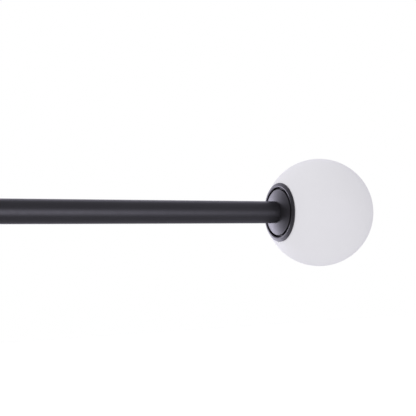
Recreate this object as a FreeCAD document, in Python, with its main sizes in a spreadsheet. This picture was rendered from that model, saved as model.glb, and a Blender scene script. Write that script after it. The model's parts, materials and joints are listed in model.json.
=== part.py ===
# Curtain rod with globe finials and two wall brackets.
#
# A telescopic rod lies in two U-shaped cradles that stand off a wall. Each end of the rod carries a
# finial: a domed cap, then a collar that holds a hollow opal glass globe. A bolt through the collar
# screws into a plug in the rod's end. Each bracket is a wall plate, a sleeve screwed to it from behind,
# an arm that slides in the sleeve, a cover that hides the plate, a cradle on the arm's end, and two
# thumb screws: one locks the arm, the other locks the rod.
#
# Row frame, in millimetres: the wall is the plane y = 0 and the room is at -y. +x runs along the rod,
# +z is up. The origin is on the wall, midway between the two brackets.

import FreeCAD
import Part
import Sketcher
import math
import os
import re

# Driving dimensions: alias, value, meaning.
DIMENSIONS = [
    ("rod_span", 1100, "from one end of the rod to the other, finials left out"),
    ("bracket_spacing", 540, "between the centres of the two brackets"),
    ("projection", 90, "from the wall to the rod's axis"),
    ("slip", 0.3, "gap round a piece that slides freely"),
    ("running", 0.06, "radial clearance of a running fit"),
    ("push", 0.02, "radial clearance of a push fit"),
    ("edge", 0.4, "small chamfer on turned and cut edges"),
    # rod
    ("outer_radius", 10.0, "outer tube"),
    ("outer_wall", 1.0, "outer tube's wall"),
    ("inner_radius", 8.5, "inner tube"),
    ("inner_wall", 0.8, "inner tube's wall"),
    ("tube_length", 700, "either tube"),
    ("plug_length", 22, "threaded plug in the end of a tube"),
    ("bush_length", 22, "guide bush's sleeve inside the outer tube"),
    ("bush_nose", 3.5, "guide bush's tapered nose outside the outer tube"),
    ("slider_flange", 5, "slider's flange, on the hidden end of the inner tube"),
    ("slider_spigot", 14, "slider's spigot inside the inner tube"),
    # finial, measured outwards from the end of the rod
    ("globe_radius", 50, "outside of the glass globe"),
    ("globe_wall", 1.5, "glass thickness"),
    ("globe_offset", 47.4, "from the rod's end to the globe's centre"),
    ("globe_rim_round", 0.6, "rounding between the ground rim and the globe's outside"),
    ("globe_lip_round", 0.4, "rounding at the inside of the ground rim"),
    ("rim_plane", 5.2, "the globe's ground rim"),
    ("gasket_thickness", 0.3, "gasket between the collar and the ground rim"),
    ("gasket_lip", 0.4, "gasket's lip between the collar's wall and the glass"),
    ("gasket_depth", 3.0, "how far the gasket's lip reaches past the rim"),
    ("collar_radius", 26.8, "collar's flange"),
    ("collar_bore", 22.6, "collar's recess for the cap"),
    ("collar_wall", 0.5, "collar's wall round the recess"),
    ("collar_front", 3.0, "foremost ring of the collar's face"),
    ("collar_slope", 1.2, "how far the collar's face falls back to its outer edge"),
    ("collar_bevel", 1.1, "bright bevel round the recess"),
    ("bevel_depth", 0.5, "how far that bevel falls back to the recess"),
    ("collar_round", 0.3, "rounding of the collar's outer edge"),
    ("collar_floor", 7.5, "floor of the recess"),
    ("floor_thickness", 2.0, "floor of the recess"),
    ("hub_radius", 8.5, "hub in the middle of the recess"),
    ("cap_radius", 20.9, "domed cap's rim"),
    ("cap_seat", 10.1, "flat middle of the cap, where the rod's end bears"),
    ("cap_dome", 55, "radius of the cap's dome"),
    ("cap_round", 0.6, "rounding of the cap's rim"),
    ("cap_metal", 1.4, "cap's metal thickness"),
    ("cap_depth", 5.4, "cap's back edge"),
    ("cap_hub", 3.0, "where the cap's hub meets the collar's hub"),
    ("bolt_radius", 4.0, "finial bolt's thread"),
    ("bolt_reach", 12, "finial bolt's thread inside the plug"),
    ("bolt_head_flats", 13, "finial bolt's head across flats"),
    ("bolt_head_height", 5.3, "finial bolt's head"),
    ("clip_width", 8, "globe clip"),
    ("clip_metal", 0.5, "globe clip's spring steel"),
    ("clip_inner", 10.5, "inner end of a globe clip"),
    ("clip_bend", 23.3, "where a globe clip bends towards the rim"),
    ("clip_tip", 28.4, "outer end of a globe clip"),
    ("clip_dip", 1.2, "how far a globe clip's tip reaches back towards the rim"),
    ("clip_screw_place", 15, "globe clip's screw, from the globe's axis"),
    ("clip_screw_radius", 1.5, "globe clip's screw thread"),
    ("clip_head_radius", 2.8, "globe clip's screw head"),
    ("clip_head_height", 1.8, "globe clip's screw head"),
    # bracket, measured outwards from the wall
    ("plate_radius", 28, "wall plate"),
    ("plate_thickness", 3, "wall plate"),
    ("wall_hole_radius", 2.6, "holes for the wall screws"),
    ("wall_hole_spacing", 38, "between the holes, up and down"),
    ("countersink_radius", 4.8, "mouth of every countersunk hole"),
    ("countersink_land", 0.8, "straight wall left under a countersink"),
    ("sleeve_radius", 8, "arm sleeve"),
    ("nose_radius", 10, "thick end of the sleeve, which takes the lock screw"),
    ("nose_start", 38, "where the sleeve's thick end begins"),
    ("sleeve_end", 50, "front end of the sleeve"),
    ("sleeve_floor", 12, "bottom of the sleeve's bore"),
    ("cover_radius", 31, "cover over the wall plate"),
    ("cover_depth", 11, "cover over the wall plate"),
    ("cover_metal", 1.2, "cover's sheet"),
    ("cover_round", 4, "cover's rounded shoulder"),
    ("arm_radius", 6, "arm bar"),
    ("arm_start", 12.5, "arm bar's end inside the sleeve"),
    ("arm_flat", 5.2, "flat under the arm, from the arm's axis"),
    ("flat_start", 14, "flat under the arm, from the wall"),
    ("flat_end", 70, "flat under the arm, from the wall"),
    ("thread_radius", 2.5, "every M5 thread"),
    ("screw_depth", 13, "depth of the thread in the arm's end"),
    ("socket_flats", 3, "countersunk screw's hexagon socket"),
    ("socket_depth", 1.6, "countersunk screw's hexagon socket"),
    ("lock_place", 44, "arm lock screw, from the wall"),
    ("lock_head_radius", 5, "thumb screw's head"),
    ("lock_head_height", 6, "thumb screw's head"),
    ("lock_neck", 4, "thumb screw's bare thread between head and bracket"),
    ("knurl_depth", 0.5, "thumb screw's grooves"),
    ("tip_gap", 0.2, "between a lock screw's tip and what it locks"),
    ("cradle_radius", 11, "inside of the cradle"),
    ("cradle_wall", 3, "cradle's wall"),
    ("cradle_width", 18, "cradle, along the rod"),
    ("cradle_rise", 7, "cradle's two lips above the rod's axis"),
    ("boss_radius", 7.5, "round boss behind the cradle"),
    ("boss_length", 2, "round boss behind the cradle"),
    ("lip_round", 1.2, "rounding of the cradle's two lips"),
]
ALIASES = {alias for alias, _, _ in DIMENSIONS}

KNURL_COUNT = 20
CLIP_COUNT = 3

ABOUT_Z = FreeCAD.Vector(0, 0, 1)
ABOUT_Y = FreeCAD.Vector(0, 1, 0)
# Which way a body's local x points.
RIGHT = FreeCAD.Rotation(ABOUT_Z, 0)
LEFT = FreeCAD.Rotation(ABOUT_Z, 180)
INTO_ROOM = FreeCAD.Rotation(ABOUT_Z, -90)
OUT_OF_ROOM = FreeCAD.Rotation(ABOUT_Z, 90)
DOWN = FreeCAD.Rotation(ABOUT_Y, 90)

# Each end of the rod: where it is along x, and which way its finial points.
ENDS = {
    "right": ("rod_span / 2", RIGHT),
    "left": ("-rod_span / 2", LEFT),
}
BRACKETS = {
    "right": "bracket_spacing / 2",
    "left": "-bracket_spacing / 2",
}
# The tube that ends on each side: radius, wall and name.
TUBES = {
    "right": ("outer_radius", "outer_wall", "outer_rod"),
    "left": ("inner_radius", "inner_wall", "inner_rod"),
}

doc = FreeCAD.newDocument("curtain_rod")
made = []


# ---------------------------------------------------------------- the sheet

def make_sheet():
    """The spreadsheet of driving dimensions: meaning in column A, value and alias in column B."""
    dims = doc.addObject("Spreadsheet::Sheet", "dims")
    for row, (alias, number, meaning) in enumerate(DIMENSIONS, start=1):
        dims.set(f"A{row}", meaning)
        dims.set(f"B{row}", str(number))
        dims.setAlias(f"B{row}", alias)
    doc.recompute()
    return dims


def bound(text):
    """An expression in plain aliases, as FreeCAD reads it: rod_span / 2 becomes dims.rod_span / 2."""
    return re.sub(r"[a-z_]+", lambda m: "dims." + m.group() if m.group() in ALIASES else m.group(), text)


def number(text):
    """What an expression in plain aliases comes to now."""
    return float(sheet.evalExpression(bound(text)))


# ---------------------------------------------------------------- bodies and features

def new_body(label, separate_solids=False):
    body = doc.addObject("PartDesign::Body", label)
    body.Label = label
    body.AllowCompound = separate_solids
    made.append(body)
    return body


def place(body, rotation, x="0", y="0", z="0"):
    """Turns the body and puts its origin where the expressions say."""
    body.Placement.Rotation = rotation
    for axis, text in zip("xyz", (x, y, z)):
        body.setExpression(f"Placement.Base.{axis}", bound(text))


def place_at_end(body, side):
    """Local x runs outwards along the rod, from the rod's end on that side."""
    x, rotation = ENDS[side]
    place(body, rotation, x, "-projection")


def place_at_bracket(body, side, x="0"):
    """Local x runs from the wall into the room, and local y along the rod."""
    place(body, INTO_ROOM, BRACKETS[side], f"-({x})")


def arc_geometry(start, end, radius, turn):
    """The shorter arc between two points. turn is 1 for anticlockwise and -1 for clockwise."""
    (ax, ay), (bx, by) = start, end
    chord = math.hypot(bx - ax, by - ay)
    rise = turn * math.sqrt(radius ** 2 - (chord / 2) ** 2)
    cx = (ax + bx) / 2 - rise * (by - ay) / chord
    cy = (ay + by) / 2 + rise * (bx - ax) / chord
    first, last = (start, end) if turn > 0 else (end, start)
    from_angle = math.atan2(first[1] - cy, first[0] - cx)
    to_angle = math.atan2(last[1] - cy, last[0] - cx)
    if to_angle < from_angle:
        to_angle += 2 * math.pi
    circle = Part.Circle(FreeCAD.Vector(cx, cy, 0), FreeCAD.Vector(0, 0, 1), radius)
    return Part.ArcOfCircle(circle, from_angle, to_angle)


def origin_item(body, role):
    return next(item for item in body.Origin.OriginFeatures if item.Role == role)


def fix(sketch, kind, text, *where):
    """A sketch dimension whose size is an expression."""
    index = sketch.addConstraint(Sketcher.Constraint(kind, *where, number(text)))
    sketch.setExpression(f"Constraints[{index}]", bound(text))


def draw(body, name, plane, outline):
    """A closed sketch on one of the body's own planes, every size bound to the sheet.

    A corner is (x, y), reached by a line from the corner before it, or (x, y, radius, turn),
    reached by an arc. The first corner is reached from the last.
    """
    sketch = body.newObject("Sketcher::SketchObject", name)
    sketch.AttachmentSupport = (origin_item(body, plane), [""])
    sketch.MapMode = "FlatFace"
    points = [(number(corner[0]), number(corner[1])) for corner in outline]
    ends = []
    for i, corner in enumerate(outline):
        start, end = points[i - 1], points[i]
        if len(corner) == 2:
            sketch.addGeometry(Part.LineSegment(FreeCAD.Vector(*start, 0), FreeCAD.Vector(*end, 0)))
            ends.append((1, 2))
        else:
            radius, turn = corner[2:]
            sketch.addGeometry(arc_geometry(start, end, number(radius), turn))
            ends.append((1, 2) if turn > 0 else (2, 1))
            fix(sketch, "Radius", radius, i)
    for i, corner in enumerate(outline):
        before = (i - 1) % len(outline)
        sketch.addConstraint(Sketcher.Constraint("Coincident", before, ends[before][1], i, ends[i][0]))
        fix(sketch, "DistanceX", corner[0], -1, 1, i, ends[i][1])
        fix(sketch, "DistanceY", corner[1], -1, 1, i, ends[i][1])
    if sketch.solve() != 0:
        raise ValueError(f"{name}: the sketch has no solution")
    return sketch


def turned(label, outline, separate_solids=False, off_axis="0"):
    """A body turned about local x, or about a line beside it. A corner is (along the axis, radius)."""
    body = new_body(label, separate_solids)
    sketch = draw(body, label + "_outline", "XY_Plane", outline)
    sketch.setExpression("AttachmentOffset.Base.z", bound(off_axis))
    feature = body.newObject("PartDesign::Revolution", label + "_turned")
    feature.Profile = sketch
    feature.ReferenceAxis = (sketch, ["H_Axis"])
    feature.Angle = 360
    doc.recompute()
    return body


def extruded(label, outline, width, separate_solids=False):
    """A body with the same outline in x and z right across its width."""
    body = new_body(label, separate_solids)
    pad = body.newObject("PartDesign::Pad", label + "_pad")
    pad.Profile = draw(body, label + "_outline", "XZ_Plane", outline)
    pad.setExpression("Length", bound(width))
    pad.SideType = "Symmetric"
    doc.recompute()
    return body


def must_change(body, before, sign, name):
    """Stops the build if a feature took nothing away (sign -1) or added nothing (sign 1)."""
    if not sign * (body.Shape.Volume - before) > 1e-3:
        raise ValueError(f"{name} changes nothing on {body.Label}")


def primitive(body, kind, name, sizes, axis, x, y, z):
    """Adds or cuts a simple solid. axis is the direction of the solid's own z."""
    before = body.Shape.Volume
    solid = body.newObject("PartDesign::" + kind, name)
    for key, text in sizes.items():
        solid.setExpression(key, bound(text))
    solid.Placement.Rotation = FreeCAD.Rotation(FreeCAD.Vector(0, 0, 1), FreeCAD.Vector(*axis))
    for key, text in zip("xyz", (x, y, z)):
        solid.setExpression(f"Placement.Base.{key}", bound(text))
    doc.recompute()
    must_change(body, before, -1 if kind.startswith("Sub") else 1, name)
    return solid


def drill(body, name, radius, length, axis, x="0", y="0", z="0"):
    sizes = {"Radius": radius, "Height": length}
    return primitive(body, "SubtractiveCylinder", name, sizes, axis, x, y, z)


def countersink(body, name, small, large, length, axis, x="0", y="0", z="0"):
    sizes = {"Radius1": small, "Radius2": large, "Height": length}
    return primitive(body, "SubtractiveCone", name, sizes, axis, x, y, z)


def hexagon(body, kind, name, flats, length, x):
    """A hexagonal prism added (Pad) or cut (Pocket) round local x, from x outwards along it."""
    before = body.Shape.Volume
    directions = [(math.cos(math.radians(60 * i)), math.sin(math.radians(60 * i))) for i in range(6)]
    corners = [(f"{across:.6f} * {flats} / sqrt(3)", f"{up:.6f} * {flats} / sqrt(3)") for across, up in directions]
    sketch = draw(body, name + "_outline", "YZ_Plane", corners)
    sketch.setExpression("AttachmentOffset.Base.z", bound(x))
    prism = body.newObject("PartDesign::" + kind, name)
    prism.Profile = sketch
    prism.setExpression("Length", bound(length))
    prism.Reversed = kind == "Pocket"
    doc.recompute()
    must_change(body, before, 1 if kind == "Pad" else -1, name)


def features(body):
    """The body's solid features so far, without its sketches."""
    return [item for item in body.Group if item.isDerivedFrom("PartDesign::Feature")]


def ring_pattern(body, originals, count):
    """Repeats features evenly round local x."""
    repeated = body.newObject("PartDesign::PolarPattern", body.Label + "_ring")
    repeated.Originals = originals
    repeated.Axis = (origin_item(body, "X_Axis"), [""])
    repeated.Angle = 360
    repeated.Occurrences = count
    body.Tip = repeated
    doc.recompute()


def round_edges(body, name, radius, chosen):
    """Rounds the edges of the body's last feature for which chosen(edge) is true."""
    base = body.Tip
    names = [f"Edge{i}" for i, edge in enumerate(base.Shape.Edges, start=1)
             if not edge.Degenerated and chosen(edge)]
    if not names:
        raise ValueError(f"{name}: no such edge on {body.Label}")
    fillet = body.newObject("PartDesign::Fillet", name)
    fillet.Base = (base, names)
    fillet.setExpression("Radius", bound(radius))
    doc.recompute()


# ---------------------------------------------------------------- rod

def rod_tube(side):
    """A steel tube that ends flush with the rod's end and runs inwards."""
    radius, wall, name = TUBES[side]
    body = turned(f"{name}_tube", [
        ("-tube_length", f"{radius} - {wall}"),
        ("0", f"{radius} - {wall}"),
        ("0", f"{radius} - edge / 2"),
        ("-edge / 2", radius),
        ("edge / 2 - tube_length", radius),
        ("-tube_length", f"{radius} - edge / 2"),
    ])
    place_at_end(body, side)


def rod_plug(side):
    """The threaded plug inside the end of a tube, which takes the finial's bolt."""
    radius, wall, name = TUBES[side]
    body = turned(f"{name}_plug", [
        ("-plug_length", "bolt_radius + running"),
        ("-2 * edge", "bolt_radius + running"),
        ("0", "bolt_radius + running + 2 * edge"),
        ("0", f"{radius} - {wall} - push"),
        ("-plug_length + 2 * edge", f"{radius} - {wall} - push"),
        ("-plug_length", f"{radius} - {wall} - push - 2 * edge"),
    ])
    place_at_end(body, side)


def telescope_bush():
    """The plastic bush in the outer tube's mouth. Its nose tapers down to the inner tube."""
    body = turned("telescope_bush", [
        ("-tube_length - bush_nose", "inner_radius + running"),
        ("bush_length - tube_length", "inner_radius + running"),
        ("bush_length - tube_length", "outer_radius - outer_wall - push"),
        ("-tube_length", "outer_radius - outer_wall - push"),
        ("-tube_length", "outer_radius"),
        ("-tube_length - edge", "outer_radius"),
        ("-tube_length - bush_nose", "inner_radius + 2 * edge"),
    ])
    place_at_end(body, "right")


def telescope_slider():
    """The plastic slider on the inner tube's hidden end, which keeps it central in the outer tube."""
    body = turned("telescope_slider", [
        ("-tube_length - slider_flange", "0"),
        ("slider_spigot - tube_length", "0"),
        ("slider_spigot - tube_length", "inner_radius - inner_wall - push - 2 * edge"),
        ("slider_spigot - tube_length - 2 * edge", "inner_radius - inner_wall - push"),
        ("-tube_length", "inner_radius - inner_wall - push"),
        ("-tube_length", "outer_radius - outer_wall - running"),
        ("-tube_length - slider_flange + edge", "outer_radius - outer_wall - running"),
        ("-tube_length - slider_flange", "outer_radius - outer_wall - running - edge"),
    ])
    place_at_end(body, "left")


# ---------------------------------------------------------------- finial

def finial_cap(side):
    """The domed cap between the rod's end and the collar. The gap round its rim shows as a dark line."""
    centre = "sqrt(cap_dome ^ 2 - cap_seat ^ 2)"
    inside = "(cap_dome - cap_metal)"
    rim_front = f"{centre} - sqrt(cap_dome ^ 2 - (cap_radius - cap_round) ^ 2)"
    back_rim = f"{centre} - sqrt({inside} ^ 2 - (cap_radius - cap_metal) ^ 2)"
    back_hub = f"{centre} - sqrt({inside} ^ 2 - hub_radius ^ 2)"
    body = turned(f"finial_cap_{side}", [
        ("0", "bolt_radius + slip"),
        ("0", "cap_seat"),
        (rim_front, "cap_radius - cap_round", "cap_dome", -1),
        (f"{rim_front} + cap_round", "cap_radius", "cap_round", -1),
        ("cap_depth", "cap_radius"),
        ("cap_depth", "cap_radius - cap_metal"),
        (back_rim, "cap_radius - cap_metal"),
        (back_hub, "hub_radius", inside, 1),
        ("cap_hub", "hub_radius"),
        ("cap_hub", "bolt_radius + slip"),
    ])
    place_at_end(body, side)


def finial_collar(side):
    """The ring that shows round the cap. Its recess takes the cap, and its flange covers the globe's rim."""
    flange_back = "rim_plane - gasket_thickness"
    outer_front = "collar_front + collar_slope"
    floor_back = "collar_floor + floor_thickness"
    body = turned(f"finial_collar_{side}", [
        ("cap_hub", "bolt_radius + push"),
        ("cap_hub", "hub_radius"),
        ("collar_floor", "hub_radius"),
        ("collar_floor", "collar_bore"),
        ("collar_front + bevel_depth", "collar_bore"),
        ("collar_front", "collar_bore + collar_bevel"),
        (outer_front, "collar_radius - collar_round"),
        (f"{outer_front} + collar_round", "collar_radius", "collar_round", -1),
        (flange_back, "collar_radius"),
        (flange_back, "collar_bore + collar_wall"),
        (floor_back, "collar_bore + collar_wall"),
        (floor_back, "bolt_radius + push"),
    ])
    hole = drill(body, f"clip_holes_{side}", "clip_screw_radius + push", "floor_thickness + 2", (1, 0, 0),
                 "collar_floor - 1", "0", "clip_screw_place")
    ring_pattern(body, [hole], CLIP_COUNT)
    place_at_end(body, side)


def finial_gasket(side):
    """The soft ring between the collar's flange and the glass."""
    body = turned(f"finial_gasket_{side}", [
        ("rim_plane - gasket_thickness", "collar_bore + collar_wall"),
        ("rim_plane - gasket_thickness", "collar_radius - collar_round"),
        ("rim_plane", "collar_radius - collar_round"),
        ("rim_plane", "collar_bore + collar_wall + gasket_lip"),
        ("rim_plane + gasket_depth", "collar_bore + collar_wall + gasket_lip"),
        ("rim_plane + gasket_depth", "collar_bore + collar_wall"),
    ])
    place_at_end(body, side)


def finial_globe(side):
    """The hollow glass globe, its mouth ground flat and its rim rounded."""
    rim_height = "(globe_offset - rim_plane)"
    inside = "(globe_radius - globe_wall)"
    outer_rim = f"sqrt(globe_radius ^ 2 - {rim_height} ^ 2)"
    inner_rim = f"sqrt({inside} ^ 2 - {rim_height} ^ 2)"
    body = turned(f"finial_globe_{side}", [
        ("rim_plane", inner_rim, inside, 1),
        ("rim_plane", outer_rim),
        ("globe_offset + globe_radius", "0", "globe_radius", -1),
        ("globe_offset + globe_radius - globe_wall", "0"),
    ])
    at_rim = number("rim_plane")
    for name, radius, rim in (("rim_round", "globe_rim_round", outer_rim),
                              ("lip_round", "globe_lip_round", inner_rim)):
        size = number(rim)
        round_edges(body, f"{name}_{side}", radius, lambda edge: (
            isinstance(edge.Curve, Part.Circle)
            and abs(edge.Curve.Center.x - at_rim) < 1e-3
            and abs(edge.Curve.Radius - size) < 1e-3))
    place_at_end(body, side)


def finial_bolt(side):
    """The bolt that holds collar and cap to the rod. Its head is inside the globe."""
    head = "collar_floor + floor_thickness"
    body = turned(f"finial_bolt_{side}", [
        ("-bolt_reach", "0"),
        (head, "0"),
        (head, "bolt_radius"),
        ("2 * edge - bolt_reach", "bolt_radius"),
        ("-bolt_reach", "bolt_radius - 2 * edge"),
    ])
    hexagon(body, "Pad", f"bolt_head_{side}", "bolt_head_flats", "bolt_head_height", head)
    place_at_end(body, side)


def globe_clips(side):
    """Three spring clips behind the collar's floor. Each one's tip bears on the glass just inside the rim."""
    floor = "collar_floor + floor_thickness"
    body = extruded(f"globe_clips_{side}", [
        (floor, "clip_inner"),
        (floor, "clip_bend"),
        (f"{floor} - clip_dip", "clip_tip - clip_metal"),
        (f"{floor} - clip_dip + clip_metal / 2", "clip_tip"),
        (f"{floor} + clip_metal", "clip_bend + clip_metal / 2"),
        (f"{floor} + clip_metal", "clip_inner"),
    ], "clip_width", separate_solids=True)
    ring_pattern(body, features(body), CLIP_COUNT)
    hole = drill(body, f"clip_screw_hole_{side}", "clip_screw_radius + push", "4 * clip_metal", (1, 0, 0),
                 f"{floor} - clip_metal", "0", "clip_screw_place")
    ring_pattern(body, [hole], CLIP_COUNT)
    place_at_end(body, side)


def clip_screws(side):
    """Three small pan-head screws, each through a clip into the collar's floor."""
    head = "collar_floor + floor_thickness + clip_metal"
    body = turned(f"clip_screws_{side}", [
        ("collar_floor + edge / 2", "0"),
        (f"{head} + clip_head_height", "0"),
        (f"{head} + clip_head_height", "clip_head_radius - 2 * edge"),
        (f"{head} + clip_head_height - 2 * edge", "clip_head_radius", "2 * edge", 1),
        (head, "clip_head_radius"),
        (head, "clip_screw_radius"),
        ("collar_floor + edge / 2", "clip_screw_radius"),
    ], separate_solids=True, off_axis="clip_screw_place")
    ring_pattern(body, features(body), CLIP_COUNT)
    place_at_end(body, side)


# ---------------------------------------------------------------- bracket

def wall_plate(side):
    """The disc that two screws hold to the wall, one above the arm and one below it."""
    body = turned(f"wall_plate_{side}", [
        ("0", "countersink_radius"),
        ("0", "plate_radius"),
        ("plate_thickness - edge", "plate_radius"),
        ("plate_thickness", "plate_radius - edge"),
        ("plate_thickness", "wall_hole_radius"),
        ("countersink_radius - wall_hole_radius", "wall_hole_radius"),
    ])
    for name, z in (("upper", "wall_hole_spacing / 2"), ("lower", "-wall_hole_spacing / 2")):
        drill(body, f"{name}_hole_{side}", "wall_hole_radius", "plate_thickness + 2", (1, 0, 0), "-1", "0", z)
        countersink(body, f"{name}_countersink_{side}", "wall_hole_radius", "countersink_radius",
                    "plate_thickness - countersink_land", (1, 0, 0), "countersink_land", "0", z)
    place_at_bracket(body, side)


def countersunk_screw(label, length, separate_solids=False):
    """A countersunk M5 screw with a hexagon socket. Its head's face is at local x = 0."""
    body = turned(label, [
        ("0", "0"),
        (length, "0"),
        (length, "thread_radius - edge"),
        (f"{length} - edge", "thread_radius"),
        ("countersink_radius - push - thread_radius", "thread_radius"),
        ("0", "countersink_radius - push"),
    ], separate_solids)
    hexagon(body, "Pocket", label + "_socket", "socket_flats", "socket_depth", "0")
    return body


def plate_screws():
    """The two screws that hold the sleeves to the wall plates, put in from behind."""
    body = countersunk_screw("plate_screws", "sleeve_floor - 1", separate_solids=True)
    originals = features(body)
    both = body.newObject("PartDesign::LinearPattern", "plate_screw_pair")
    both.Originals = originals
    both.Direction = (origin_item(body, "Y_Axis"), [""])
    both.Reversed = True
    both.setExpression("Length", bound("bracket_spacing"))
    both.Occurrences = len(BRACKETS)
    body.Tip = both
    doc.recompute()
    place_at_bracket(body, "right")


def arm_sleeve(side):
    """The socket the arm slides in. Its thick front end takes the arm's lock screw."""
    body = turned(f"arm_sleeve_{side}", [
        ("plate_thickness", "thread_radius + push"),
        ("plate_thickness", "sleeve_radius"),
        ("nose_start", "sleeve_radius"),
        ("nose_start + nose_radius - sleeve_radius", "nose_radius"),
        ("sleeve_end - 2 * edge", "nose_radius"),
        ("sleeve_end", "nose_radius - 2 * edge"),
        ("sleeve_end", "arm_radius + running"),
        ("sleeve_floor", "arm_radius + running"),
        ("sleeve_floor", "thread_radius + push"),
    ])
    drill(body, f"lock_hole_{side}", "thread_radius + push", "nose_radius + 1", (0, 0, -1), "lock_place")
    place_at_bracket(body, side)


def plate_cover(side):
    """The round cover over the wall plate. It slides forward along the sleeve to reach the wall screws."""
    body = turned(f"plate_cover_{side}", [
        ("slip", "cover_radius - cover_metal"),
        ("slip", "cover_radius"),
        ("cover_depth - cover_round", "cover_radius"),
        ("cover_depth", "cover_radius - cover_round", "cover_round", -1),
        ("cover_depth", "sleeve_radius + slip / 2"),
        ("cover_depth - cover_metal", "sleeve_radius + slip / 2"),
        ("cover_depth - cover_metal", "cover_radius - cover_round"),
        ("cover_depth - cover_round", "cover_radius - cover_metal", "cover_round - cover_metal", 1),
    ])
    place_at_bracket(body, side)


def bracket_arm(side):
    """The bar that slides in the sleeve. The lock screw bears on the flat along its underside."""
    arm_end = "projection - cradle_radius - cradle_wall - boss_length"
    body = turned(f"bracket_arm_{side}", [
        ("arm_start", "0"),
        ("arm_start", "arm_radius - 2 * edge"),
        ("arm_start + 2 * edge", "arm_radius"),
        (arm_end, "arm_radius"),
        (arm_end, "thread_radius + push"),
        (f"{arm_end} - screw_depth", "thread_radius + push"),
        (f"{arm_end} - screw_depth", "0"),
    ])
    sizes = {"Length": "flat_end - flat_start", "Width": "2 * arm_radius", "Height": "arm_radius"}
    primitive(body, "SubtractiveBox", f"arm_flat_{side}", sizes, (0, 0, 1),
              "flat_start", "-arm_radius", "-arm_radius - arm_flat")
    place_at_bracket(body, side)


def u_outline(inside, outside, rise):
    """A U that opens upwards, its bend centred on the rod's axis."""
    return [
        (f"-{outside}", rise),
        (f"-{inside}", rise),
        (f"-{inside}", "0"),
        ("0", f"-{inside}", inside, 1),
        (inside, "0", inside, 1),
        (inside, rise),
        (outside, rise),
        (outside, "0"),
        ("0", f"-{outside}", outside, -1),
        (f"-{outside}", "0", outside, -1),
    ]


def bracket_cradle(side):
    """The U the rod lies in, with a round boss behind it that meets the arm. Local x = 0 is the rod's axis."""
    outside = "(cradle_radius + cradle_wall)"
    body = extruded(f"bracket_cradle_{side}", u_outline("cradle_radius", outside, "cradle_rise"), "cradle_width")
    top = number("cradle_rise")
    round_edges(body, f"lip_round_{side}", "lip_round", lambda edge: (
        abs(edge.CenterOfMass.z - top) < 1e-3 and abs(edge.Vertexes[0].Y - edge.Vertexes[-1].Y) > 1))
    sizes = {"Radius": "boss_radius", "Height": "boss_length + cradle_wall - edge / 4"}
    primitive(body, "AdditiveCylinder", f"boss_{side}", sizes, (1, 0, 0), f"-{outside} - boss_length", "0", "0")
    drill(body, f"arm_screw_hole_{side}", "wall_hole_radius", "cradle_radius + cradle_wall", (1, 0, 0),
          f"-{outside} - boss_length - 1")
    sink = "(countersink_radius - wall_hole_radius)"
    countersink(body, f"arm_screw_sink_{side}", "wall_hole_radius", "countersink_radius", sink, (1, 0, 0),
                f"-cradle_radius - {sink}")
    drill(body, f"arm_screw_mouth_{side}", "countersink_radius", "cradle_wall", (1, 0, 0), "-cradle_radius")
    drill(body, f"rod_lock_hole_{side}", "thread_radius + push", "cradle_radius + 2 * cradle_wall", (1, 0, 0))
    place_at_bracket(body, side, "projection")


def cradle_screw(side):
    """The screw through the back of the cradle into the arm's end."""
    body = countersunk_screw(f"cradle_screw_{side}", "cradle_wall + boss_length + screw_depth - 1")
    place(body, OUT_OF_ROOM, BRACKETS[side], "-(projection - cradle_radius)")


def cradle_liner(side):
    """The plastic strip in the cradle, which keeps the paint on the rod. It fits the tube on that side."""
    radius = TUBES[side][0]
    body = extruded(f"cradle_liner_{side}",
                    u_outline(f"({radius} + slip)", "(cradle_radius - push)", "cradle_rise - lip_round"),
                    "cradle_width")
    drill(body, f"liner_hole_{side}", "thread_radius + slip", "2 * cradle_radius", (1, 0, 0))
    place_at_bracket(body, side, "projection")


def thumb_screw(label, thread):
    """An M5 screw with a knurled head. Its tip is at local x = 0 and its head is further along local x."""
    body = turned(label, [
        ("0", "0"),
        (f"{thread} + lock_head_height", "0"),
        (f"{thread} + lock_head_height", "lock_head_radius - 2 * edge"),
        (f"{thread} + lock_head_height - 2 * edge", "lock_head_radius"),
        (f"{thread} + 2 * edge", "lock_head_radius"),
        (thread, "lock_head_radius - 2 * edge"),
        (thread, "thread_radius"),
        ("edge", "thread_radius"),
        ("0", "thread_radius - edge"),
    ])
    groove = drill(body, label + "_knurl", "knurl_depth", "lock_head_height + 2", (1, 0, 0),
                   f"{thread} - 1", "0", "lock_head_radius")
    ring_pattern(body, [groove], KNURL_COUNT)
    return body


def arm_lock_screw(side):
    """The screw under the sleeve's thick end. Its tip bears on the arm's flat."""
    body = thumb_screw(f"arm_lock_screw_{side}", "nose_radius + lock_neck - arm_flat - tip_gap")
    place(body, DOWN, BRACKETS[side], "-lock_place", "-arm_flat - tip_gap")


def rod_lock_screw(side):
    """The screw through the front of the cradle. Its tip bears on the rod."""
    tip = f"{TUBES[side][0]} + tip_gap"
    body = thumb_screw(f"rod_lock_screw_{side}", f"cradle_radius + cradle_wall + lock_neck - {tip}")
    place_at_bracket(body, side, f"projection + {tip}")


# ---------------------------------------------------------------- the whole rod

def check(part):
    """Stops the build if a part or any feature in it is faulty."""
    for item in [part] + part.Group:
        if {"Invalid", "Error"} & set(item.State):
            raise ValueError(f"{item.Label} is faulty: {item.State}")
    if part.Shape.isNull() or not part.Shape.isValid() or not part.Shape.Solids:
        raise ValueError(f"{part.Label} has no valid solid")


sheet = make_sheet()
telescope_bush()
telescope_slider()
plate_screws()
for side in ("right", "left"):
    for make in (rod_tube, rod_plug,
                 finial_cap, finial_collar, finial_gasket, finial_globe, finial_bolt, globe_clips, clip_screws,
                 wall_plate, arm_sleeve, plate_cover, bracket_arm, bracket_cradle, cradle_screw, cradle_liner,
                 arm_lock_screw, rod_lock_screw):
        make(side)
doc.recompute()

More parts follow.
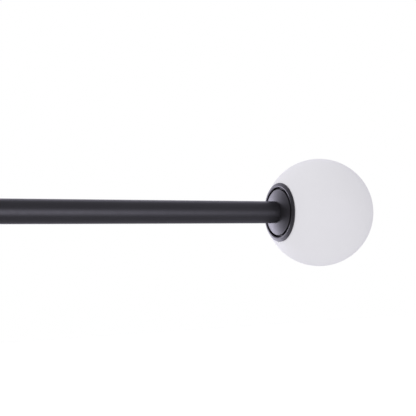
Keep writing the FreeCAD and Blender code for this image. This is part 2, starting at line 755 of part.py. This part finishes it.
os.makedirs("parts", exist_ok=True)
for part in made:
    check(part)
    part.Shape.exportStep(f"parts/{part.Label}.step")
    print(f"{part.Label}: {len(part.Shape.Solids)} solids, {part.Shape.Volume:.1f} mm3")
print(f"{len(made)} parts")
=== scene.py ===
import bpy
import bmesh
import json
import math
from mathutils import Euler, Matrix, Vector


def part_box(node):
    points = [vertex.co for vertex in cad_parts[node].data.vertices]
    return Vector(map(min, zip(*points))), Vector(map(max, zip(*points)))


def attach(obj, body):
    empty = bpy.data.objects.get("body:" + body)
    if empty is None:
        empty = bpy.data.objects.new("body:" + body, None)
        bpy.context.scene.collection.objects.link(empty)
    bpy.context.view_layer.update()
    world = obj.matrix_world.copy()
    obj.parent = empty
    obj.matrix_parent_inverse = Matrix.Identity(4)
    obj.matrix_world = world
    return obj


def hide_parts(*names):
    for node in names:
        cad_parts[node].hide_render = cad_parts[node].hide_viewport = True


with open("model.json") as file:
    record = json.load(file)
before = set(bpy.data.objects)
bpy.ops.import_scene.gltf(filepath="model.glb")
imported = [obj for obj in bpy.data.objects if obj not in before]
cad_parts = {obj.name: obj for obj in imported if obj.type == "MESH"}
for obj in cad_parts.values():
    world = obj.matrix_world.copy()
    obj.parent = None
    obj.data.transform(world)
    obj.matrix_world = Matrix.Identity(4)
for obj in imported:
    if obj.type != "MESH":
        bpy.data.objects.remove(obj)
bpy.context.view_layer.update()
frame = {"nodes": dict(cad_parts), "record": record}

MM = 0.001
SIDES = ("right", "left")


# ---------------------------------------------------------------- materials

class Nodes:
    """A new material's or world's nodes, with short ways to add and link them."""

    def __init__(self, tree, where):
        self.tree = tree
        self.where = self.add("ShaderNodeTexCoord").outputs[where]

    def add(self, kind, **settings):
        node = self.tree.nodes.new(kind)
        for key, setting in settings.items():
            if key in node.inputs:
                node.inputs[key].default_value = setting
            else:
                setattr(node, key, setting)
        return node

    def link(self, source, target):
        """Joins an output to an input, or sets the input if source is a number or a colour."""
        if isinstance(source, tuple):
            target.default_value = (*source, 1)
        elif isinstance(source, (int, float)):
            target.default_value = source
        else:
            self.tree.links.new(source, target)

    def noise(self, scale, detail=2.0, stretch=None):
        node = self.add("ShaderNodeTexNoise", Scale=scale, Detail=detail)
        where = self.where
        if stretch is not None:
            mapping = self.add("ShaderNodeMapping", Scale=stretch)
            self.link(where, mapping.inputs["Vector"])
            where = mapping.outputs["Vector"]
        self.link(where, node.inputs["Vector"])
        return node.outputs["Fac"]

    def ramp(self, source, low, high, start=0.0, end=1.0, smooth=False):
        """Maps source from start..end to low..high."""
        node = self.add("ShaderNodeMapRange")
        if smooth:
            node.interpolation_type = "SMOOTHSTEP"
        for name, number in (("From Min", start), ("From Max", end), ("To Min", low), ("To Max", high)):
            node.inputs[name].default_value = number
        self.link(source, node.inputs["Value"])
        return node.outputs["Result"]

    def math(self, operation, a, b):
        node = self.add("ShaderNodeMath", operation=operation)
        self.link(a, node.inputs[0])
        self.link(b, node.inputs[1])
        return node.outputs[0]

    def mix_colour(self, fac, a, b):
        node = self.add("ShaderNodeMix", data_type="RGBA")
        self.link(fac, node.inputs[0])
        self.link(a, node.inputs[6])
        self.link(b, node.inputs[7])
        return node.outputs[2]

    def bump(self, height, distance, strength=1.0, normal=None):
        node = self.add("ShaderNodeBump", Strength=strength, Distance=distance)
        self.link(height, node.inputs["Height"])
        if normal is not None:
            self.link(normal, node.inputs["Normal"])
        return node.outputs["Normal"]


class Surface(Nodes):
    """A new material on one Principled shader."""

    def __init__(self, name):
        self.material = bpy.data.materials.new(name)
        self.material.use_nodes = True
        super().__init__(self.material.node_tree, "Object")
        self.shader = self.tree.nodes["Principled BSDF"]

    def set(self, **inputs):
        for key, source in inputs.items():
            self.link(source, self.shader.inputs[key.replace("_", " ")])


def satin_black():
    m = Surface("satin_black")
    m.set(Base_Color=m.mix_colour(m.noise(35, 3), (0.0105, 0.0100, 0.0120), (0.0150, 0.0143, 0.0165)),
          Roughness=m.ramp(m.noise(160, 4), 0.36, 0.42, 0.3, 0.7),
          IOR=1.5)
    peel = m.bump(m.noise(650, 2), 0.00003, 0.5)
    m.set(Normal=m.bump(m.noise(4200, 1), 0.000008, 0.4, peel))
    return m.material


def opal_glass():
    m = Surface("opal_glass")
    m.set(Base_Color=m.mix_colour(m.noise(22, 4), (0.800, 0.790, 0.830), (0.830, 0.820, 0.860)),
          Roughness=m.ramp(m.noise(260, 3), 0.50, 0.58, 0.3, 0.7),
          Specular_IOR_Level=0.2,
          Normal=m.bump(m.noise(3000, 2), 0.00001, 0.3))
    return m.material


def plain_detail(name, dark, light, rough, scale, bump, **extra):
    """A moulded or plated surface: two close colours, uneven roughness and a fine bump."""
    m = Surface(name)
    m.set(Base_Color=m.mix_colour(m.noise(scale / 8, 3), dark, light),
          Roughness=m.ramp(m.noise(scale, 3), rough - 0.05, rough + 0.05, 0.3, 0.7),
          Normal=m.bump(m.noise(scale * 6, 2), bump, 0.5),
          **extra)
    return m.material


MATERIALS = {
    "black_paint": satin_black(),
    "opal_glass": opal_glass(),
    "black_nylon": plain_detail("black_nylon", (0.020, 0.020, 0.021), (0.030, 0.030, 0.031), 0.6, 600, 0.00003),
    "gasket": plain_detail("silicone", (0.50, 0.50, 0.51), (0.60, 0.60, 0.61), 0.55, 300, 0.00001),
    "black_screw": plain_detail("black_screw", (0.016, 0.016, 0.018), (0.026, 0.026, 0.028), 0.34, 500, 0.00001),
    "bright_steel": plain_detail("zinc_steel", (0.30, 0.30, 0.29), (0.40, 0.40, 0.38), 0.36, 400, 0.00001,
                                 Metallic=1.0),
}
SLOT_OF = {part["node"]: part["material_slot"] for part in frame["record"]["subparts"]}
BODY_OF = {node: body for body, nodes in frame["record"]["behaviour"]["bodies"].items() for node in nodes}

for node, obj in frame["nodes"].items():
    obj.data.materials.clear()
    obj.data.materials.append(MATERIALS[SLOT_OF[node]])


# ---------------------------------------------------------------- mesh helpers

def rounded(points, steps=5):
    """An outline of (along, radius) or (along, radius, rounding) in mm. Each corner with a rounding
    becomes an arc of that radius."""
    result = []
    for i, point in enumerate(points):
        if len(point) < 3:
            result.append(point)
            continue
        corner = Vector(point[:2])
        before = Vector(points[i - 1][:2]) - corner
        after = Vector(points[(i + 1) % len(points)][:2]) - corner
        half = before.angle(after) / 2
        reach = point[2] / math.tan(half)
        start = corner + before.normalized() * reach
        end = corner + after.normalized() * reach
        centre = corner + (before.normalized() + after.normalized()).normalized() * point[2] / math.sin(half)
        first = math.atan2(start.y - centre.y, start.x - centre.x)
        turn = math.atan2(end.y - centre.y, end.x - centre.x) - first
        turn = (turn + math.pi) % (2 * math.pi) - math.pi
        for k in range(steps + 1):
            angle = first + turn * k / steps
            result.append((centre.x + point[2] * math.cos(angle), centre.y + point[2] * math.sin(angle)))
    return result


def arc(centre, radius, start, end, steps):
    """Points on a circle centred on the axis, from one angle to another, in degrees from the axis."""
    points = []
    for k in range(steps + 1):
        angle = math.radians(start + (end - start) * k / steps)
        points.append((centre + radius * math.cos(angle), max(0.0, radius * math.sin(angle))))
    return points


def frame_at(origin, along, up=(0, 0, 1)):
    """The matrix that takes local (along, side, up) in mm to the row frame in metres."""
    along, up = Vector(along).normalized(), Vector(up).normalized()
    side = up.cross(along)
    matrix = Matrix((along, side, up)).transposed().to_4x4() @ Matrix.Scale(MM, 4)
    matrix.translation = origin
    return matrix


def spin(bm, matrix, outline, segments=96, shape=None):
    """Adds the surface that an outline makes when it turns round the local x axis. shape(along, angle,
    radius), if given, changes the radius at each point."""
    loops = []
    for along, radius in outline:
        if radius < 1e-6:
            loops.append([bm.verts.new(matrix @ Vector((along, 0, 0)))] * segments)
            continue
        loop = []
        for k in range(segments):
            angle = 2 * math.pi * k / segments
            r = shape(along, angle, radius) if shape else radius
            loop.append(bm.verts.new(matrix @ Vector((along, r * math.cos(angle), r * math.sin(angle)))))
        loops.append(loop)
    pairs = list(zip(loops, loops[1:]))
    if outline[0][1] > 1e-6:
        pairs.append((loops[-1], loops[0]))
    for one, two in pairs:
        for k in range(segments):
            corners = [one[k], one[(k + 1) % segments], two[(k + 1) % segments], two[k]]
            corners = list(dict.fromkeys(corners))
            if len(corners) > 2:
                bm.faces.new(corners)


def finish_mesh(bm, node, sharp=32):
    """Makes the object that stands for a CAD node."""
    bmesh.ops.recalc_face_normals(bm, faces=bm.faces)
    mesh = bpy.data.meshes.new(node + "_look")
    bm.to_mesh(mesh)
    bm.free()
    mesh.shade_smooth()
    mesh.set_sharp_from_angle(angle=math.radians(sharp))
    mesh.materials.append(MATERIALS[SLOT_OF[node]])
    obj = bpy.data.objects.new(node + "_look", mesh)
    bpy.context.collection.objects.link(obj)
    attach(obj, BODY_OF[node])
    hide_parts(node)
    return obj


def lathe(node, matrix, outline, segments=96, shape=None, sharp=32):
    bm = bmesh.new()
    spin(bm, matrix, outline, segments, shape)
    return finish_mesh(bm, node, sharp)


def middle(node):
    low, high = (Vector(corner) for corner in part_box(node))
    return (low + high) / 2


# ---------------------------------------------------------------- rod and finials

# Lengths are in mm. Places along the rod and finials are measured outwards from the rod's end.
ROD = {"right": ("outer_rod", 10.0, 9.0), "left": ("inner_rod", 8.5, 7.7)}  # body, outer and inner radius
TUBE_LENGTH = 700
BUSH_INSIDE, BUSH_OUTSIDE, BUSH_LENGTH, BUSH_LIP, BUSH_NOSE = 8.56, 8.98, 22, 0.5, 3.5
GLOBE_RADIUS, GLOBE_INSIDE, GLOBE_CENTRE, GLOBE_RIM = 49.98, 48.5, 47.4, 5.2
DOME, DOME_INSIDE = 55.0, 53.6
CAP_SEAT, CAP_EDGE, CAP_RADIUS, CAP_INSIDE, CAP_BACK, CAP_HOLE = 10.1, 20.3, 20.9, 19.5, 5.4, 4.3
HUB_FRONT, HUB_RADIUS = 3.0, 8.5
COLLAR_RADIUS, COLLAR_FRONT, COLLAR_BACK, COLLAR_HOLE = 26.8, 3.0, 4.9, 4.02
RECESS_RADIUS, RECESS_FLOOR, RECESS_OUTSIDE, RECESS_BACK = 22.6, 7.5, 23.1, 9.5


def end_frame(side):
    """Local x = 0 at the rod's end, running outwards."""
    low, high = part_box("finial_cap_" + side)
    centre = middle("finial_cap_" + side)
    outwards = 1 if side == "right" else -1
    return frame_at((high[0] if outwards < 0 else low[0], centre.y, centre.z), (outwards, 0, 0))


def angle_at(radius, circle):
    return math.degrees(math.asin(radius / circle))


def rod_tube(side):
    body, outside, inside = ROD[side]
    lathe(body + "_tube", end_frame(side), rounded([
        (0, inside, 0.15), (0, outside, 0.25), (-TUBE_LENGTH, outside, 0.25), (-TUBE_LENGTH, inside, 0.15),
    ]), 128)


def finial_cap(side):
    centre = math.sqrt(DOME ** 2 - CAP_SEAT ** 2)
    front = centre - math.sqrt(DOME ** 2 - CAP_EDGE ** 2)
    dome = arc(centre, DOME, 180 - angle_at(CAP_SEAT, DOME), 180 - angle_at(CAP_EDGE, DOME), 24)
    inside = arc(centre, DOME_INSIDE, 180 - angle_at(CAP_INSIDE, DOME_INSIDE),
                 180 - angle_at(HUB_RADIUS, DOME_INSIDE), 16)
    rim = rounded([dome[-1], (front + 0.12, CAP_RADIUS, 0.55), (CAP_BACK, CAP_RADIUS, 0.2),
                   (CAP_BACK, CAP_INSIDE)])[1:]
    hole = [(HUB_FRONT, CAP_HOLE), (0.02, CAP_HOLE)]
    lathe("finial_cap_" + side, end_frame(side), hole + dome + rim + inside + [(HUB_FRONT, HUB_RADIUS)], 160)


def finial_collar(side):
    hub = [(HUB_FRONT, COLLAR_HOLE), (HUB_FRONT, HUB_RADIUS), (RECESS_FLOOR, HUB_RADIUS)]
    recess = [(RECESS_FLOOR, RECESS_RADIUS, 0.3), (4.4, RECESS_RADIUS)]
    bevels = [(3.22, 23.05, 0.1), (COLLAR_FRONT, 24.0, 0.3)]
    flange = [(4.3, COLLAR_RADIUS, 0.35), (COLLAR_BACK, COLLAR_RADIUS, 0.1), (COLLAR_BACK, RECESS_OUTSIDE)]
    back = [(RECESS_BACK, RECESS_OUTSIDE, 0.3), (RECESS_BACK, COLLAR_HOLE)]
    lathe("finial_collar_" + side, end_frame(side), rounded(hub + recess + bevels + flange + back), 160)


def finial_globe(side):
    height = GLOBE_CENTRE - GLOBE_RIM
    outer = 180 - math.degrees(math.acos(height / GLOBE_RADIUS))
    inner = 180 - math.degrees(math.acos(height / GLOBE_INSIDE))
    outside = arc(GLOBE_CENTRE, GLOBE_RADIUS, outer - 1.2, 0, 96)
    inside = arc(GLOBE_CENTRE, GLOBE_INSIDE, 0, inner - 0.8, 64)
    rim = rounded([inside[-1], (GLOBE_RIM, GLOBE_INSIDE * math.sin(math.radians(inner)) + 0.1, 0.3),
                   (GLOBE_RIM, GLOBE_RADIUS * math.sin(math.radians(outer)) - 0.1, 0.5), outside[0]])[1:-1]
    lathe("finial_globe_" + side, end_frame(side), inside + rim + outside, 160, sharp=40)


def telescope_bush():
    mouth = -TUBE_LENGTH
    deep, nose = mouth + BUSH_LENGTH, mouth - BUSH_NOSE
    flush = ROD["right"][1]
    lathe("telescope_bush", end_frame("right"), rounded([
        (nose, BUSH_INSIDE), (deep, BUSH_INSIDE), (deep, BUSH_OUTSIDE, 0.15), (mouth, BUSH_OUTSIDE),
        (mouth, flush, 0.1), (mouth - BUSH_LIP, flush, 0.2), (nose, flush - 0.7, 0.3),
    ]), 128)


# ---------------------------------------------------------------- brackets

# Lengths are in mm. Places along a bracket are measured outwards from the wall.
PROJECTION = 90
COVER_RADIUS, COVER_DEPTH, COVER_METAL, COVER_HOLE, COVER_BACK = 31.0, 11.0, 1.2, 8.15, 0.3
SLEEVE_RADIUS, SLEEVE_BACK, SLEEVE_END, SLEEVE_BORE, SLEEVE_FLOOR = 8.0, 3.0, 50.0, 6.06, 12.0
NOSE_RADIUS, NOSE_START, NOSE_FULL = 10.0, 38.0, 40.0
ARM_RADIUS, ARM_START, ARM_END, ARM_FLAT, FLAT_START, FLAT_END = 6.0, 12.5, 74.0, 5.2, 14.0, 70.0
SCREW_HOLE, SCREW_HOLE_END = 2.52, 61.0
CRADLE_INSIDE, CRADLE_OUTSIDE, CRADLE_RISE, CRADLE_WIDTH = 11.0, 14.0, 7.0, 18.0
BOSS_RADIUS, BOSS_HOLE, BOSS_BACK, BOSS_FRONT = 7.5, 2.6, -16.0, -12.6  # from the rod's axis
LINER_OUTSIDE, LINER_RISE = 10.98, 5.8
LINER_INSIDE = {"right": 10.3, "left": 8.8}
LOCK_PLACE, LOCK_REACH = 44, 5.4
LOCK_NECK = 4.0
THREAD, THREAD_PITCH, THREAD_DEPTH, THREAD_TIP = 2.5, 0.8, 0.4, 0.4
HEAD_RADIUS, HEAD_HEIGHT, HEAD_DISH, KNURLS, KNURL = 5.0, 6.0, 0.45, 20, 0.5
STEP = 0.05


def bracket_frame(side, out=0.0, down=0.0, along=(0, -1, 0), up=(0, 0, 1)):
    """Local x = 0 at out mm from the wall, on the arm's axis or down mm below it."""
    sleeve = middle("arm_sleeve_" + side)
    return frame_at((sleeve.x, -out * MM, sleeve.z - down * MM), along, up)


def plate_cover(side):
    radius, depth = COVER_RADIUS - COVER_METAL, COVER_DEPTH - COVER_METAL
    lathe("plate_cover_" + side, bracket_frame(side), rounded([
        (COVER_BACK, radius, 0.2), (COVER_BACK, COVER_RADIUS, 0.3), (COVER_DEPTH, COVER_RADIUS, 4.0),
        (COVER_DEPTH, COVER_HOLE, 0.3), (depth, COVER_HOLE, 0.2), (depth, radius, 2.8),
    ], 10), 160)


def arm_sleeve(side):
    lathe("arm_sleeve_" + side, bracket_frame(side), rounded([
        (SLEEVE_BACK, SCREW_HOLE), (SLEEVE_BACK, SLEEVE_RADIUS), (NOSE_START, SLEEVE_RADIUS, 1.0),
        (NOSE_FULL, NOSE_RADIUS, 1.0), (SLEEVE_END, NOSE_RADIUS, 0.9), (SLEEVE_END, SLEEVE_BORE, 0.25),
        (SLEEVE_FLOOR, SLEEVE_BORE), (SLEEVE_FLOOR, SCREW_HOLE),
    ]), 128)


def bracket_arm(side):
    def flattened(along, angle, radius):
        down = -math.sin(angle)
        if FLAT_START < along < FLAT_END and down * radius > ARM_FLAT:
            return ARM_FLAT / down
        return radius

    outside = [(ARM_START + 0.8, ARM_RADIUS), (FLAT_START, ARM_RADIUS), (FLAT_START + STEP, ARM_RADIUS),
               (FLAT_END - STEP, ARM_RADIUS), (FLAT_END, ARM_RADIUS), (ARM_END - 0.1, ARM_RADIUS)]
    lathe("bracket_arm_" + side, bracket_frame(side), [
        (ARM_START, 0), (ARM_START, ARM_RADIUS - 0.8), *outside, (ARM_END, ARM_RADIUS - 0.1),
        (ARM_END, SCREW_HOLE), (SCREW_HOLE_END, SCREW_HOLE), (SCREW_HOLE_END, 0),
    ], 96, flattened, 20)


def u_side(radius, lip, rise, steps=48):
    """One side of a U section that opens upwards, from lip to lip, as (out, up) from the rod's axis. Each
    lip has a rounding of lip, outwards from radius, or inwards where lip is negative."""
    half = []
    for k in range(7):
        angle = math.radians(90 * k / 6)
        half.append((radius + lip * (1 - math.sin(angle)), rise - abs(lip) * (1 - math.cos(angle))))
    bend = []
    for k in range(steps + 1):
        angle = -math.pi * k / steps
        bend.append((radius * math.cos(angle), radius * math.sin(angle)))
    return half + bend + [(-out, up) for out, up in reversed(half)]


def extruded_u(bm, matrix, inside, outside, rise, lip, width):
    """Adds a U with walls from radius inside to radius outside, as wide as width along local y."""
    section = u_side(inside, lip, rise), u_side(outside, -lip, rise)
    ends = []
    for y in (-width / 2, width / 2):
        ends.append([[bm.verts.new(matrix @ Vector((out, y, up))) for out, up in side] for side in section])
    near, far = ends
    for k in range(len(section[0]) - 1):
        for inner, outer in ends:
            bm.faces.new((inner[k], inner[k + 1], outer[k + 1], outer[k]))
        for one, two in zip(near, far):
            bm.faces.new((one[k], one[k + 1], two[k + 1], two[k]))
    for k in (0, -1):
        bm.faces.new((near[0][k], near[1][k], far[1][k], far[0][k]))


def soften(obj, width, segments=3):
    bevel = obj.modifiers.new("soft_edges", "BEVEL")
    bevel.width = width * MM
    bevel.segments = segments
    bevel.limit_method = "ANGLE"
    bevel.angle_limit = math.radians(50)


def bracket_cradle(side):
    bm = bmesh.new()
    extruded_u(bm, bracket_frame(side, PROJECTION), CRADLE_INSIDE, CRADLE_OUTSIDE, CRADLE_RISE, 1.2, CRADLE_WIDTH)
    soften(finish_mesh(bm, "bracket_cradle_" + side, 40), 0.6)
    boss = bmesh.new()
    spin(boss, bracket_frame(side, PROJECTION), rounded([
        (BOSS_BACK, BOSS_HOLE), (BOSS_BACK, BOSS_RADIUS, 0.4), (BOSS_FRONT, BOSS_RADIUS), (BOSS_FRONT, BOSS_HOLE),
    ]), 96)
    obj = finish_mesh(boss, "bracket_cradle_" + side)
    obj.name = "bracket_boss_" + side


def cradle_liner(side):
    bm = bmesh.new()
    extruded_u(bm, bracket_frame(side, PROJECTION), LINER_INSIDE[side], LINER_OUTSIDE, LINER_RISE, 0.3,
               CRADLE_WIDTH - 0.1)
    soften(finish_mesh(bm, "cradle_liner_" + side, 40), 0.1, 2)


def thumb_screw(node, matrix, thread):
    """A knurled head on a threaded shank whose tip is at local x = 0."""
    def cut(along, angle, radius):
        if along < thread - STEP / 2:
            turn = (along / THREAD_PITCH - angle / (2 * math.pi)) % 1
            return min(radius, THREAD - THREAD_DEPTH * (1 - abs(2 * turn - 1)))
        groove = abs((angle * KNURLS / (2 * math.pi) + 0.5) % 1 - 0.5) * 2 * math.pi * HEAD_RADIUS / KNURLS
        depth = math.sqrt(max(0.0, KNURL ** 2 - groove ** 2))
        return min(radius, HEAD_RADIUS - depth)

    rings = int(thread / (THREAD_PITCH / 6))
    shank = [(0.0, 0.0), (0.0, THREAD - THREAD_DEPTH)]
    for k in range(rings + 1):
        shank.append((THREAD_TIP + (thread - THREAD_TIP - STEP) * k / rings, THREAD))
    top = thread + HEAD_HEIGHT
    head = rounded([(thread, THREAD), (thread, HEAD_RADIUS, 0.7), (top, HEAD_RADIUS, 0.7), (top, 3.4, 0.25),
                    (top - HEAD_DISH, 3.1, 0.2), (top - HEAD_DISH, 0)])
    lathe(node, matrix, shank + head, KNURLS * 10, cut, 38)


def arm_lock_screw(side):
    thread = NOSE_RADIUS + LOCK_NECK - LOCK_REACH
    matrix = bracket_frame(side, LOCK_PLACE, LOCK_REACH, (0, 0, -1), (0, -1, 0))
    thumb_screw("arm_lock_screw_" + side, matrix, thread)


def rod_lock_screw(side):
    tip = ROD[side][1] + 0.2
    thumb_screw("rod_lock_screw_" + side, bracket_frame(side, PROJECTION + tip), CRADLE_OUTSIDE + LOCK_NECK - tip)


for side in SIDES:
    for make in (rod_tube, finial_cap, finial_collar, finial_globe, plate_cover, arm_sleeve, bracket_arm,
                 bracket_cradle, cradle_liner, arm_lock_screw, rod_lock_screw):
        make(side)
telescope_bush()


# ---------------------------------------------------------------- floor, light and camera

FLOOR_HALF, FLOOR_Z = 4.0, -0.75  # metres
DIFFUSE_LEVEL = 0.76
GLOSSY_LEVEL = 0.46
GLOSSY_TINT = (1.0, 0.965, 1.17)
# Each soft light: direction, full within, gone beyond (degrees), strength.
DIFFUSE_LIGHT = ((-0.9, 0.42, 0.05), 0, 180, 0.29)
GLOSSY_LIGHTS = (
    ((-0.15, 0.98, -0.15), 7, 33, 1.95),
    ((-0.50, 0.85, -0.10), 10, 42, 1.3),
    ((-0.38, 0.82, -0.45), 6, 26, 1.35),
    ((-0.36, 0.87, 0.36), 5, 26, 0.8),
    ((0.35, 0.72, 0.58), 5, 34, 0.65),
    ((0.22, -0.95, -0.15), 8, 29, 2.85),
)


def make_floor():
    """A pale floor. Reflections look through it, so that they show the studio's soft lights alone."""
    mesh = bpy.data.meshes.new("floor")
    corners = [(x * FLOOR_HALF, y * FLOOR_HALF, FLOOR_Z) for x, y in ((-1, -1), (1, -1), (1, 1), (-1, 1))]
    mesh.from_pydata(corners, [], [(0, 1, 2, 3)])
    floor = bpy.data.objects.new("floor", mesh)
    bpy.context.collection.objects.link(floor)
    m = Surface("floor_paint")
    m.set(Base_Color=m.mix_colour(m.noise(3, 4), (0.93, 0.93, 0.93), (0.95, 0.95, 0.95)), Roughness=0.8)
    m.shader.inputs["Emission Color"].default_value = (1, 1, 1, 1)
    path = m.add("ShaderNodeLightPath")
    m.set(Emission_Strength=m.ramp(path.outputs["Is Camera Ray"], 0.07, 0.3))
    clear = m.add("ShaderNodeBsdfTransparent")
    mix = m.add("ShaderNodeMixShader")
    m.link(path.outputs["Is Glossy Ray"], mix.inputs["Fac"])
    m.link(m.shader.outputs[0], mix.inputs[1])
    m.link(clear.outputs[0], mix.inputs[2])
    m.link(mix.outputs[0], m.tree.nodes["Material Output"].inputs["Surface"])
    mesh.materials.append(m.material)


def softbox(world, direction, inner, outer, strength):
    """A round soft light at infinity: full inside inner degrees, gone outside outer degrees."""
    dot = world.add("ShaderNodeVectorMath", operation="DOT_PRODUCT")
    world.link(world.where, dot.inputs[0])
    dot.inputs[1].default_value = Vector(direction).normalized()
    return world.ramp(dot.outputs["Value"], 0.0, strength, math.cos(math.radians(outer)),
                      math.cos(math.radians(inner)), smooth=True)


def make_world():
    """White to the camera, even to rough surfaces, and a dim studio with soft lights in reflections."""
    data = bpy.data.worlds.new("studio")
    bpy.context.scene.world = data
    data.use_nodes = True
    data.cycles.sampling_method = "NONE"
    data.node_tree.nodes.clear()
    world = Nodes(data.node_tree, "Generated")
    output = world.add("ShaderNodeOutputWorld")
    path = world.add("ShaderNodeLightPath")

    def glow(strength, colour=(1, 1, 1)):
        node = world.add("ShaderNodeBackground")
        world.link(colour, node.inputs["Color"])
        world.link(strength, node.inputs["Strength"])
        return node.outputs[0]

    def choose(flag, no, yes):
        node = world.add("ShaderNodeMixShader")
        world.link(path.outputs[flag], node.inputs["Fac"])
        world.link(no, node.inputs[1])
        world.link(yes, node.inputs[2])
        return node.outputs[0]

    lights = GLOSSY_LEVEL
    for light in GLOSSY_LIGHTS:
        lights = world.math("ADD", softbox(world, *light), lights)
    side = softbox(world, *DIFFUSE_LIGHT)
    rough = glow(world.math("ADD", side, DIFFUSE_LEVEL))
    seen = glow(1.0)
    mirrored = glow(lights, GLOSSY_TINT)
    world.link(choose("Is Camera Ray", choose("Is Glossy Ray", rough, mirrored), seen), output.inputs["Surface"])


CAMERA_YAW = math.radians(-25.68)
CAMERA_PITCH = math.radians(0.70)
CAMERA_TO_GLOBE = Vector((103.37, -4.14, -733.6)) * MM
CAMERA_LENS = 67.98


def make_camera():
    low, high = (Vector(corner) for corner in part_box("finial_globe_right"))
    globe_radius = (high.y - low.y) / 2
    globe = Vector((high.x - globe_radius, (low.y + high.y) / 2, (low.z + high.z) / 2))
    data = bpy.data.cameras.new("camera")
    data.sensor_width = 36
    data.lens = CAMERA_LENS
    data.clip_start, data.clip_end = 0.05, 50
    camera = bpy.data.objects.new("camera", data)
    camera.rotation_euler = Euler((math.radians(90) + CAMERA_PITCH, 0, CAMERA_YAW))
    camera.location = globe - camera.rotation_euler.to_matrix() @ CAMERA_TO_GLOBE
    bpy.context.collection.objects.link(camera)
    bpy.context.scene.camera = camera


make_floor()
make_world()
make_camera()
bpy.context.scene.view_settings.view_transform = "Standard"
